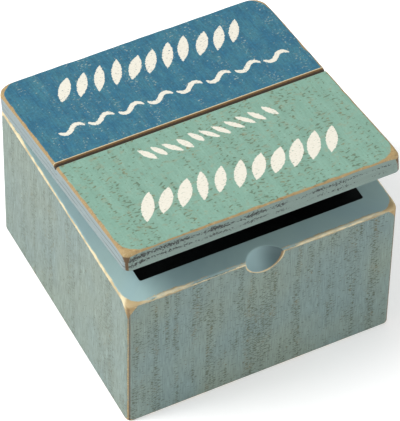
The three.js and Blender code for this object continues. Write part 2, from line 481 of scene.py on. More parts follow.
class WallWear:
    """Where the walls are sanded bare, from the measures that their mesh carries.

    `down` is how far below the middle of the top edge a place is, `turn` how far past the upright
    corner, negative on the left and right walls, and `outside` how far outside the thumb scoop.
    `wander` is slow noise around zero, and `ragged` is quick noise around zero.
    """

    def __init__(self, recipe: Recipe, flat: Socket) -> None:
        """Reads the measures and makes the noises."""
        self.recipe = recipe
        self.flat = flat
        self.down = recipe.parts(flat)[1]
        self.turn = recipe.measure("turn_mm")
        self.outside = recipe.measure("rim_mm")
        self.right = recipe.measure("across_mm").above(2.0, 4.5)
        self.along_front = self.turn.above(5.0, 1.5)
        self.off_scoop = self.outside.above(0.0, 0.3)
        self.wander = recipe.noise(flat, (0.12, 0.12)) - 0.5
        self.ragged = recipe.noise(flat, (1.1, 2.2)) - 0.5

    def top_edge(self) -> Value:
        """Bare wood along the top edge, with paint kept in long stretches of the strip's middle.

        Returns:
            The mask of the bare wood.
        """
        down, wander, ragged = self.down, self.wander, self.ragged
        stretches = self.recipe.noise(self.flat, (0.05, 0.0), 1.0, 0.5) - 0.5
        width = self.along_front | (abs(self.turn).below(22.0, 9.0) * 0.4)
        reach = (stretches * 1.2 + wander * 1.4 + ragged * 1.3 + 0.85) * (width * 0.65 + 0.35)
        strip = abs(down + wander * 0.8).below(reach, 0.14)
        kept = abs(down + 0.1).below(ragged * 1.1 - stretches * 2 + 0.26, 0.12)
        strip = strip * (1 - kept * stretches.below(0.0, 0.03) * self.along_front)
        thin = self.recipe.noise(self.flat, (0.3, 1.6), 3.0, 0.7).above(0.5, 0.06)
        return strip * self.off_scoop * (1 - thin * self.along_front * 0.45)

    def upright_corner(self) -> Value:
        """Bare wood down the upright corners, spreading towards the top.

        Returns:
            The mask of the bare wood.
        """
        spread = (1 - self.down * 0.14).math("MAXIMUM", 0.0)
        reach = spread * spread * 4.4 + self.ragged * 0.8 + self.wander * 0.8 + 0.32
        return abs(self.turn + 0.25).below(reach, 0.2) * self.down.above(-0.6, 0.3)

    def bare(self) -> tuple[Value, Value, Socket]:
        """All the bare wood: edges, corners, the scoop's rim and the foot, with painted shade
        inside the rim at the scoop's right and painted shadow down the corners.

        Returns:
            Its mask, the mask of the painted shadow down the corners, and its colour.
        """
        recipe, mix = self.recipe, self.recipe.mix
        down, turn, outside = self.down, self.turn, self.outside
        wander, ragged, right = self.wander, self.ragged, self.right
        from_corner = abs(turn)
        band = wander * 1.2 + ragged * 0.5 - from_corner.above(8.0, 6.0) * 1.3 + 0.95
        patch = recipe.measure("paint_mm").below(band, 0.16) * down.below(0.4, 0.4) * self.off_scoop
        reach = ragged * 0.7 + wander * 1.2 + right * 0.45 + 0.32
        rim = abs(outside + right * 0.3).below(reach, 0.14) * down.above(0.2, 0.3)
        reach = ragged * 0.8 + wander * 2.2 + from_corner.below(1.6, 1.6) * 1.3 + 0.25
        foot = recipe.measure("foot_mm").below(reach, 0.16)
        worn = self.top_edge() | self.upright_corner() | patch | rim | foot

        on_side = turn.below(-2.0, 1.2) * abs(down).below(2.0, 0.5)
        on_front = abs(down + wander * 2).below(0.6, 0.4) * (self.along_front * 0.45 + 0.35)
        pale = on_front | (on_side * (wander.above(-0.02, 0.08) * 0.45 + 0.3))
        pale = pale | (rim * 0.5) | (patch * 0.3) | (ragged.above(0.12, 0.08) * 0.4)
        wood = WOOD.colour(recipe, self.flat, (0.6, 2.6), pale)
        wood = mix(patch * (1 - on_side) * 0.5, wood, WOOD.tan)
        streak = abs(turn + 0.3).below(ragged * 1.6 + 0.7, 0.5)
        streak = streak * down.above(1.0, 0.7) * down.below(8.0, 4.0)
        # Painted shade: brown on the rim's inner side at the scoop's right, where the lid shades
        # it.
        rim_shade = outside.below(ragged * 0.8 + 0.1, 0.2) * right
        wood = mix((streak | rim_shade) * 0.75, wood, WOOD.brown)
        # Painted shadow: a dark line down each upright corner, on the side of the front and back
        # walls.
        shadow = abs(turn - 0.5).below(ragged * 0.6 + 0.42, 0.2) * down.above(4.5, 2.5)
        return worn, shadow, mix(shadow, wood, WOOD.dark)


@dataclass(frozen=True)
class SandedPaint:
    """Matt paint on the walls, sanded bare along the edges, with or without the saw's marks, and
    with painted shade on the right of the thumb scoop.
    """

    name: str
    paint: Colour
    cool: Colour
    saw: SawMarks | None = None
    smooth: Colour = paint_chip(122, 148, 150)
    # scoop_shade is painted shade: the scoop's right side made darker, as the lid shades it
    scoop_shade: Colour = paint_chip(81, 103, 105)

    def material(self) -> Material:
        """Builds the material.

        Returns:
            The material.
        """
        recipe = Recipe(self.name)
        noise, mix = recipe.noise, recipe.mix
        flat = recipe.unrolled()
        wear = WallWear(recipe, flat)
        broad = noise(flat, (0.03, 0.022), 2.0, 0.5).above(0.5, 0.14)
        soft = noise(flat, (0.22, 0.1))
        colour = recipe.shade(mix(broad, self.paint, self.cool), soft * 0.12 + 0.94)
        height = soft * 0.2 + 0.6
        rough = soft * 0.1 + 0.58
        scooped = wear.outside.below(-0.1, 0.25)
        if self.saw:
            warm = noise(flat, (0.25, 0.12), 2.0, 0.7)
            colour, marks, lines = self.saw.over(recipe, flat, colour, warm, 1 - scooped)
            height = height + lines * 0.3 - marks * 0.513
            rough = rough + marks * 0.154
        # Inside the scoop: smooth paint on the left, painted shade on the right.
        colour = mix(scooped, colour, mix(wear.right, self.smooth, self.scoop_shade))
        worn, shadow, wood = wear.bare()
        colour = mix(worn | (shadow * 0.7), colour, wood)
        normal = recipe.bump(height - worn * 0.5, 0.07)
        return recipe.finish(Base_Color=colour, Roughness=rough + worn * 0.1, Normal=normal)


@dataclass(frozen=True)
class PlainPaint:
    """Matt paint on a smooth face, a little uneven from the brush, of another colour low down."""

    name: str
    paint: Colour
    uneven: float = 0.08
    roughness: float = 0.6
    below: Colour | None = None
    below_height: float = 2.5

    def material(self) -> Material:
        """Builds the material.

        Returns:
            The material.
        """
        recipe = Recipe(self.name)
        place = recipe.place()
        soft = recipe.noise(place, (0.06, 0.06, 0.06), 3.0, 0.5)
        brushed = recipe.noise(place, (0.25, 2.4, 2.4))
        colour: Any = self.paint
        if self.below:
            height = recipe.parts(place)[2]
            colour = recipe.mix(height.below(self.below_height, 0.1), self.paint, self.below)
        level = soft * self.uneven + brushed * (self.uneven * 0.6) + (1 - self.uneven * 0.8)
        rough = brushed * 0.12 + (self.roughness - 0.06)
        normal = recipe.bump(brushed, 0.02)
        return recipe.finish(Base_Color=recipe.shade(colour, level), Roughness=rough, Normal=normal)


@dataclass(frozen=True)
class LidTop:
    """The lid's painted top: blue behind the groove and aqua before it, with strokes in cream."""

    name: str
    groove_place: float
    groove_half: float
    blue: Colour = paint_chip(27, 88, 113)
    blue_light: Colour = paint_chip(46, 102, 118)
    aqua: Colour = paint_chip(111, 147, 131)
    aqua_light: Colour = paint_chip(117, 152, 136)
    aqua_stain: Colour = paint_chip(132, 128, 102)
    cream: Colour = paint_chip(210, 207, 194)
    cut_wood: Colour = paint_chip(104, 74, 30)
    # groove_shade is painted shade for the groove's depths
    groove_shade: Colour = paint_chip(42, 30, 8)
    blue_saw: SawMarks = SawMarks(
        4.0, 0.9, 0.7, 0.71, 0.10, 1.0, mottle=1.0, stain=0.03, strength=0.55,
        mark=paint_chip(40, 76, 90), rust=paint_chip(150, 164, 154), rust_from=0.5,
    )
    aqua_saw: SawMarks = SawMarks(
        3.4, 1.6, 0.85, 0.70, 0.12, 0.4, mottle=0.4, strength=0.8,
        mark=paint_chip(78, 96, 74), rust=paint_chip(112, 108, 76), rust_from=0.57,
    )

    def painted(self, recipe: Recipe, board: Socket, behind: Value) -> tuple[Socket, Value, Value]:
        """The two colours, each with its saw marks.

        Args:
            recipe: The material being made.
            board: Places on the board.
            behind: The mask of what lies behind the groove.

        Returns:
            The colour, how strongly the dashes show, and the brightness of the lines.
        """
        broad = recipe.noise(board, (0.22, 0.1), 3.0, 0.65).above(0.51, 0.18)
        warm = recipe.noise(board, (0.3, 0.2), 2.0, 0.7)
        blotch = recipe.noise(board, (0.3, 0.42)).above(0.62, 0.06)
        blue = recipe.mix(broad, self.blue, self.blue_light)
        aqua = recipe.mix(broad, self.aqua, self.aqua_light)
        aqua = recipe.mix(blotch * 0.32, aqua, self.aqua_stain)
        blue, *blue_marks = self.blue_saw.over(recipe, board, blue, warm)
        aqua, *aqua_marks = self.aqua_saw.over(recipe, board, aqua, warm)
        marks, lines = (near + (far - near) * behind for near, far in zip(aqua_marks, blue_marks))
        return recipe.mix(behind, aqua, blue), marks, lines

    def material(self) -> Material:
        """Builds the material.

        Returns:
            The material.
        """
        recipe = Recipe(self.name)
        noise, mix = recipe.noise, recipe.mix
        board = recipe.vector_measure("board_mm")
        across = recipe.parts(board)[1] - self.groove_place
        colour, marks, lines = self.painted(recipe, board, across.above(0.0, 0.05))

        ragged = noise(board, (1.3, 1.3)) - 0.5
        wander = noise(board, (0.14, 0.14)) - 0.5
        chips = noise(board, (0.9, 2.2))
        stroke = recipe.measure("stroke_mm") + ragged * 0.9
        cream = stroke.below(0.0, 0.1) * chips.below(0.66, 0.03)
        colour = mix(cream, colour, mix(chips.above(0.5, 0.15) * 0.12, self.cream, WOOD.tan))

        turn = recipe.measure("turn_mm")
        reach = ragged * 0.4 + wander * 1.4 - turn.above(4.0, 3.0) * 0.4 + 1.3
        groove = abs(across - 0.1).below(ragged * 0.3 + (self.groove_half + 0.05), 0.1)
        bare = recipe.measure("paint_mm").below(reach, 0.13) | groove
        wood = WOOD.colour(recipe, board, (0.35, 2.6), chips.above(0.62, 0.08) * 0.15)
        wood = mix(turn.below(-6.0, 3.0) * chips.below(0.6, 0.15) * 0.3, wood, WOOD.brown)
        wood = mix(groove * 0.6, wood, WOOD.cream)
        cut = abs(across).below(self.groove_half - 0.1, 0.1)
        wood = mix(cut, wood, self.cut_wood)
        # Painted shade: the groove's bottom and the lower part of its back wall, where little light
        # reaches.
        wood = mix(across.below(ragged * 0.5 + 0.7, 0.25) * cut, wood, self.groove_shade)
        height = lines * 0.25 + cream * 0.5 - marks * 0.4 - bare * 0.5 + 0.5
        return recipe.finish(
            Base_Color=mix(bare, colour, wood),
            Roughness=bare * 0.12 + marks * 0.1 + 0.56,
            Normal=recipe.bump(height, 0.06),
        )


@dataclass(frozen=True)
class LidSide:
    """The lid's painted sides, with rows of dark torn wood along the front."""

    name: str
    paint: Colour = paint_chip(120, 134, 135)
    front_paint: Colour = paint_chip(112, 131, 124)
    torn: Colour = paint_chip(24, 27, 25)
    upright: Colour = paint_chip(84, 62, 34)

    def torn_wood(
        self, recipe: Recipe, board: Socket, down: Value, front: Value
    ) -> tuple[Value, Value]:
        """Ragged rows of torn wood along the front, and thin broken lines along the sides.

        Args:
            recipe: The material being made.
            board: Places on the board.
            down: How far below the middle of the top edge a place is.
            front: The mask of the front.

        Returns:
            The mask of the rows, and of the rows and lines together.
        """
        x, y, _ = recipe.parts(board)
        wave = recipe.noise(board, (0.06, 0.06), 1.0, 0.5) - 0.5
        fade = recipe.noise(board, (0.12, 0.12), 1.0, 0.5) * 0.4
        torn = recipe.noise(board, (1.3, 0.7, 2.0), 3.0, 0.75)
        sparse = x.above(15.0, 25.0) * 0.08
        rows = torn.above(0.66, 0.04) * 0.55
        for place, swing, slope, level in ((2.5, 1.6, 0.15, 0.655), (4.9, 2.0, 0.2, 0.69)):
            row = torn - abs(down - place + wave * swing) * slope + fade
            rows = rows | row.above(sparse + level, 0.045)
        rows = rows * front
        upper = abs(down - 2.8 + wave * 1.6).below(0.14, 0.16)
        lower = abs(down - 5.1 - wave * 1.2).below(0.16, 0.16)
        gaps = recipe.noise(board, (0.1, 0.1, 0.5)).above(0.41, 0.06)
        thin = (upper | lower) * gaps * (y.below(8.0, 14.0) * 0.35 + 0.45) * (1 - front)
        return rows, (rows * 0.94) | thin

    def material(self) -> Material:
        """Builds the material.

        Returns:
            The material.
        """
        recipe = Recipe(self.name)
        noise, mix = recipe.noise, recipe.mix
        board = recipe.vector_measure("board_mm")
        down, front = recipe.measure("edge_mm"), recipe.measure("front")
        soft = noise(board, (0.05, 0.05, 0.4), 2.0, 0.5)
        lines = noise(board, (0.03, 0.03, 2.4), 2.0, 0.65)
        colour = mix(front, self.paint, self.front_paint)
        colour = recipe.shade(colour, soft * 0.16 + lines * 0.34 + 0.75)
        rows, dark = self.torn_wood(recipe, board, down, front)
        colour = mix(dark, colour, self.torn)

        ragged = noise(board, (1.3, 1.3, 1.3)) - 0.5
        wander = noise(board, (0.14, 0.14, 0.14)) - 0.5
        top = down.below(ragged * 0.4 + wander * 0.9 + 0.5, 0.13)
        spread = (1 - down * 0.3).math("MAXIMUM", 0.0)
        reach = ragged * 0.6 + wander * 0.6 + spread * 1.6 + 0.75
        corner = abs(recipe.measure("turn_mm") - 0.2).below(reach, 0.2)
        foot = recipe.measure("foot_mm").below(ragged * 0.8 + wander * 2.0 - 0.1, 0.14)
        bare = top | corner | foot
        wood = WOOD.colour(recipe, board, (0.35, 0.35, 2.6), ragged.above(0.14, 0.1) * 0.3)
        wood = mix(corner * down.above(0.7, 0.6), wood, self.upright)
        height = lines * 0.4 - rows * 0.5 - bare * 0.4 + 0.5
        return recipe.finish(
            Base_Color=mix(bare, colour, wood),
            Roughness=bare * 0.1 + 0.62,
            Normal=recipe.bump(height, 0.07),
        )


@dataclass(frozen=True)
class DullBrass:
    """Brass gone dull, brighter where it is rubbed."""

    name: str = "dull_brass"
    bright: Colour = paint_chip(190, 164, 108)
    dull: Colour = paint_chip(164, 136, 84)
    stain: Colour = paint_chip(104, 84, 54)

    def material(self) -> Material:
        """Builds the material.

        Returns:
            The material.
        """
        recipe = Recipe(self.name)
        place = recipe.place()
        cloud = recipe.noise(place, (0.22, 0.22, 0.22), 3.0)
        scratch = recipe.noise(place, (0.5, 4.0, 6.0))
        spots = recipe.noise(place, (1.6, 1.6, 1.6)).above(0.64, 0.06)
        colour = recipe.mix(cloud.above(0.5, 0.2), self.dull, self.bright)
        colour = recipe.mix(spots * 0.5, colour, self.stain)
        rough = cloud * -0.2 + scratch * 0.15 + spots * 0.15 + 0.42
        normal = recipe.bump(scratch, 0.012)
        return recipe.finish(Base_Color=colour, Roughness=rough, Metallic=1.0, Normal=normal)


# The box


class Finish(Enum):
    """Which finish a part of the walls has, in the order of the walls' materials."""

    FACE = 0
    SIDE = 1
    LEDGE = 2
    INSIDE = 3
    UNDER = 4


@dataclass
class Carcass:
    """The four mitred walls as one sanded surface: a section carried round a rounded square.

    A column is a place round the square, and a row is a place round the section. The section climbs
    the outer face, turns over the sanded top edge, crosses the top, drops down the inside and
    returns below.
    """

    low: Array
    high: Array
    inner_half: float
    floor_top: float
    front_corner_radius: float = 2.3
    back_corner_radius: float = 4.0
    inner_corner_radius: float = 0.7
    edge_radius: float = 0.95
    edge_wander: float = 0.18
    corner_extra: float = 0.9
    corner_spread: float = 2.2
    foot_radius: float = 0.7
    inner_edge_radius: float = 0.12
    floor_lap: float = 1.0
    scoop_width: float = 13.8
    scoop_reach: float = 4.6
    rim_softness: float = 0.55
    paint_corner: float = 6.2
    end_step: float = 0.3
    end_run: float = 3.0
    plain_step: float = 0.75
    scoop_step: float = 0.24
    scoop_run: float = 9.0
    corner_columns: int = 12
    edge_rings: int = 8
    edge_waves: int = 60
    face_rings: Stops = ((0, 0.022), (0.83, 0.0055), (1, 0))
    ledge_rings: Stops = ((0, 0.045), (0.62, 0.12), (0.94, 0.03), (1, 0))
    inside_rings: Stops = ((0, 0.07), (1, 0))
    eye_height: float = 0.72
    bite_fade: float = 5.0
    bite_behind: float = 3.0
    rim_far: float = 9.0

    def columns(self) -> tuple[Array, Array]:
        """Where the columns stand: the share of the corner centres' square, and the way outward.

        Returns:
            For each column, two shares that multiply the corner centre's distance, and the unit
            vector that multiplies the corner radius.
        """
        straight = self.high[0] - self.front_corner_radius
        inner = straight - self.end_run
        first = [(-straight, self.end_step), (-inner, self.plain_step)]
        last = [(inner, self.end_step), (straight, 0)]
        scoop = [(-self.scoop_run, self.scoop_step), (self.scoop_run, self.plain_step)]
        plain, scooped = spaced(first + last), spaced(first + scoop + last)
        turn = np.radians(np.linspace(0, 90, self.corner_columns + 1)[:-1])[:, None]
        shares, outward = [], []
        for normal, run in ((-1, 0), plain), ((0, -1), scooped), ((1, 0), plain), ((0, 1), plain):
            out = np.array(normal, float)
            ahead = np.array([-out[1], out[0]])
            fractions = run[:-1, None] / straight
            arc = out * np.cos(turn) + ahead * np.sin(turn)
            shares += [out + ahead * fractions, np.repeat([out + ahead], len(turn), 0)]
            outward += [np.repeat([out], len(fractions), 0), arc]
        return np.concatenate(shares), np.concatenate(outward)

    def corner_radii(self, shares: Array) -> Array:
        """Each column's corner radius, which grows steadily along the sides from front to back."""
        more = self.back_corner_radius - self.front_corner_radius
        return self.front_corner_radius + more * (shares[:, 1] + 1) / 2

    def plan(self, inset: Array, shares: Array, outward: Array) -> Array:
        """Places on the rounded square drawn a given way inside the outer face.

        Args:
            inset: How far inside, one row for each ring and one column for each place round it.
            shares: The columns' shares, from columns().
            outward: The columns' ways outward, from columns().

        Returns:
            x and y of each place.
        """
        radius = self.corner_radii(shares) - inset
        radius = np.maximum(radius, self.inner_corner_radius)[..., None]
        centre = self.high[:2] - inset[..., None] - radius
        return shares * centre + outward * radius

    def stages(self, edge: Array) -> list[tuple[Array, Array]]:
        """The section in stages: foot, face, sanded edge, ledge, lip, inside and underside.

        A sanded edge of radius r is a quarter circle, r (1 - cos a) in and r (1 - sin a) below the
        top.

        Args:
            edge: The sanded edge's radius at each column.

        Returns:
            For each stage, how far in and how far up its rings lie.
        """
        height, foot, lip = self.high[2], self.foot_radius, self.inner_edge_radius
        wall = self.high[0] - self.inner_half
        quarter = np.radians(np.linspace(0, 90, self.edge_rings + 1))[:, None]
        eighth = quarter[1:-1:2]
        climb = spaced(self.face_rings)[:, None]
        run = spaced(self.ledge_rings)[1:, None]
        ledge = edge + run * (wall - lip - edge)
        drop = spaced(self.inside_rings)[:, None]
        drop = height - lip - drop * (height - lip - self.floor_top + self.floor_lap)
        under = np.array([[wall], [wall / 2], [foot]])
        stages = [
            (foot * (1 - np.sin(eighth)), foot * (1 - np.cos(eighth))),
            (0 * climb, foot + climb * (height - edge - foot)),
            (edge * (1 - np.cos(quarter[1:])), height - edge * (1 - np.sin(quarter[1:]))),
            (ledge, 0 * ledge + height),
            (wall - lip + lip * np.sin(eighth), height - lip * (1 - np.cos(eighth))),
            (0 * drop + wall, drop),
            (under, 0 * under),
        ]
        level = np.zeros_like(edge)
        return [(inset + level, up + level) for inset, up in stages]

    def skin(self) -> Skin:
        """Works the walls out.

        Returns:
            The surface.
        """
        shares, outward = self.columns()
        outline = self.plan(np.zeros((1, len(shares))), shares, outward)[0]
        steps = np.linalg.norm(np.roll(outline, -1, 0) - outline, axis=1)
        along = np.concatenate([[0], np.cumsum(steps)])
        tip = np.hypot(*(self.high[:2] - abs(outline)).T) - BLUNTING * self.corner_radii(shares)
        wander = self.edge_wander * wobble(along[:-1], along[-1], self.edge_waves, 1)
        extra = self.corner_extra * np.exp(-((tip / self.corner_spread) ** 2))
        edge = self.edge_radius + wander + extra

        stages = self.stages(edge)
        inset, up = (np.concatenate(values) for values in zip(*stages))
        ends = np.cumsum([len(values) for values, _ in stages])
        across = np.hypot(np.diff(inset, axis=0), np.diff(up, axis=0))
        travelled = np.concatenate([0 * edge[None], np.cumsum(across, axis=0)])
        middle = (ends[1] + ends[2]) // 2 - 1
        down = travelled[middle] - travelled
        places = np.concatenate([self.plan(inset, shares, outward), up[..., None]], axis=-1)
        places, rim = self.bite(places)

        numbers = np.arange(up.size).reshape(up.shape)
        ring = np.arange(len(numbers))[:, None]
        face = np.where(abs(outward[:, 0]) > math.sqrt(0.5), Finish.SIDE.value, Finish.FACE.value)
        finish = np.select(
            [ring < middle, ring < ends[3], ring < ends[5] - 1],
            [face, Finish.LEDGE.value, Finish.INSIDE.value],
            Finish.UNDER.value,
        )
        looped = np.concatenate([down, down[:1]])
        after = np.roll(looped, -1, axis=1)
        downs = np.stack([looped[:-1], after[:-1], after[1:], looped[1:]], axis=-1)
        alongs = np.stack([along[:-1], along[1:], along[1:], along[:-1]], axis=-1) + 0 * downs
        to_edge = self.high[:2] - abs(places[..., :2])
        measures = {
            "paint_mm": inside_rounded(places[..., :2], self.high[:2], self.paint_corner),
            "turn_mm": to_edge[..., 0] - to_edge[..., 1],
            "rim_mm": rim,
            "across_mm": places[..., 0],
            "foot_mm": places[..., 2],
        }
        return Skin(
            points=places.reshape(-1, 3),
            faces=[ring_faces(np.concatenate([numbers, numbers[:1]]))],
            finishes=[finish.ravel()],
            measures={label: values.ravel() for label, values in measures.items()},
            unrolled=np.stack([alongs, downs], axis=-1).reshape(-1, 2),
        )

    def bite(self, places: Array) -> tuple[Array, Array]:
        """Presses the thumb scoop into the front wall.

        Rays start at an eye above the middle of a ball that stands before the wall, level with its
        top. Along its ray, each place moves out to the ball if it was inside. The larger of the two
        distances is taken by a smooth maximum, half of a + b + the root of (a - b) squared plus a
        small square, which leaves the rim softly sanded.

        Args:
            places: The walls' places.

        Returns:
            The places with the scoop in them, and how far each is outside the scoop's rim.
        """
        half = self.scoop_width / 2
        radius = (half**2 + self.scoop_reach**2) / (2 * self.scoop_reach)
        ball = np.array([0, self.low[1] - (radius - self.scoop_reach), self.high[2]])
        lift = np.array([0, 0, radius * self.eye_height])
        ray = places - (ball + lift)
        reach = np.linalg.norm(ray, axis=-1)
        unit = ray / reach[..., None]
        slope = unit @ lift
        to_ball = -slope + np.sqrt(slope**2 - lift @ lift + radius**2)
        outside = np.linalg.norm(places - ball, axis=-1) - radius
        in_front = places[..., 1] < ball[1] + radius + self.bite_behind
        near = np.clip(1 - outside / self.bite_fade, 0, 1) * in_front
        soft = self.rim_softness * near
        larger = 0.5 * (reach + to_ball + np.hypot(reach - to_ball, soft))
        moved = np.where(near > 0, larger, reach)
        bitten = np.where(near[..., None] > 0, ball + lift + unit * moved[..., None], places)
        bitten[..., 2] = np.minimum(bitten[..., 2], self.high[2])
        return bitten, np.clip(outside, -self.rim_far, self.rim_far)


# The lid


class LidFinish(Enum):
    """Which finish a part of the lid has, in the order of the lid's materials."""

    TOP = 0
    SIDE = 1
    UNDER = 2


@dataclass(frozen=True)
class HingeLine:
    """The line that the lid turns about, and how far the lid stands open at rest."""

    point: Array
    axis: Array
    ajar: float

    def turned(self, places: Array, angle: float) -> Array:
        """Turns places about the line by degrees, the lid opening with a positive angle."""
        turn = np.array(Matrix.Rotation(math.radians(angle), 3, Vector(self.axis)))
        return (places - self.point) @ turn.T + self.point

    def shut_box(self, node: str) -> tuple[Array, Array]:
        """Lowest and highest corner of one of the lid's solids with the lid shut.

        Args:
            node: The solid's name.

        Returns:
            The two corners.
        """
        mesh = frame["nodes"][node].data
        places = np.empty(len(mesh.vertices) * 3)
        mesh.vertices.foreach_get("co", places)
        shut = self.turned(places.reshape(-1, 3) / MM, -self.ajar)
        return shut.min(0), shut.max(0)


@dataclass(frozen=True)
class LeafStroke:
    """A brush stroke with two pointed ends: where two circles overlap."""

    x: float
    y: float
    length: float
    width: float
    slant: float

    def distance(self, x: Array, y: Array) -> Array:
        """How far places are outside the stroke: beyond the farther of its two circles."""
        angle = math.radians(self.slant)
        along = (x - self.x) * math.cos(angle) + (y - self.y) * math.sin(angle)
        across = (y - self.y) * math.cos(angle) - (x - self.x) * math.sin(angle)
        half, belly = self.length / 2, self.width / 2
        radius = (half**2 + belly**2) / (2 * belly)
        return np.hypot(along, abs(across) + radius - belly) - radius


@dataclass(frozen=True)
class WaveStroke:
    """A brush stroke along one wave, thinning to both ends."""

    x: float
    y: float
    length: float
    width: float
    swing: float

    def distance(self, x: Array, y: Array) -> Array:
        """How far places are outside the stroke: off a sine, less half the width there."""
        share = np.clip((x - self.x) / (self.length / 2), -1, 1)
        middle = self.y + self.swing * np.sin(math.pi * share)
        slope = self.swing * math.pi / (self.length / 2) * np.cos(math.pi * share)
        off = abs(y - middle) / np.hypot(1, slope)
        beyond = np.maximum(abs(x - self.x) - self.length / 2, 0)
        return np.hypot(off, beyond) - self.width / 2 * np.sqrt(1 - share**4)


@dataclass(frozen=True)
class StrokeRows:
    """Four rows of plain brush strokes across the lid, two behind the groove and two before it.

    A row of leaves gives where it starts and ends, its line, and its strokes' length, width and
    slant in degrees. The row of waves gives their swing instead of a slant.
    """

    leaf_rows: tuple[tuple[float, ...], ...] = (
        (-31, 34, 37, 14.0, 3.9, 60),
        (-22, 24, -9, 8.5, 2.3, -58),
        (-34, 35, -33, 15.0, 4.3, 62),
    )
    leaf_count: int = 11
    wave_row: tuple[float, ...] = (-38, 40, 17, 10.0, 1.9, 1.6)
    wave_count: int = 8
    margin: float = 6.0
    drift: float = 0.35
    lean: float = 4.0
    stretch: float = 0.08
    fatten: float = 0.12

    def leaves(self, row: tuple[float, ...]) -> list[LeafStroke]:
        """A row of leaf strokes, each a little off its place, size and slant as a hand leaves it.

        Args:
            row: The row, as the class describes it.

        Returns:
            The strokes.
        """
        start, end, y, length, width, slant = row
        off = np.random.default_rng(SEED + round(abs(y))).uniform(-1, 1, (self.leaf_count, 4))
        return [
            LeafStroke(
                x + self.drift * a,
                y + 2 * self.drift * b,
                length * (1 + self.stretch * c),
                width * (1 + self.fatten * d),
                slant + self.lean * (c - d),
            )
            for x, (a, b, c, d) in zip(np.linspace(start, end, self.leaf_count), off)
        ]

    def distance(self, x: Array, y: Array) -> Array:
        """How far places are outside the nearest stroke.

        Args:
            x: The places' x.
            y: The places' y.

        Returns:
            The distances, no more than the margin.
        """
        start, end, *wave = self.wave_row
        strokes: list[LeafStroke | WaveStroke] = [
            WaveStroke(place, *wave) for place in np.linspace(start, end, self.wave_count)
        ]
        for row in self.leaf_rows:
            strokes += self.leaves(row)
        near = np.min([stroke.distance(x, y) for stroke in strokes], axis=0)
        return np.minimum(near, self.margin)


@dataclass
class Sheet:
    """The lid's top sheet: its places' numbers on the grid, the places, and what is known of each.

    `outward` is the way to the nearest rim, `from_rim` the way along the surface from there, and
    `paint` how far inside the paint's rounded outline a place lies.
    """

    numbers: Array
    places: Array
    outward: Array
    from_rim: Array
    paint: Array


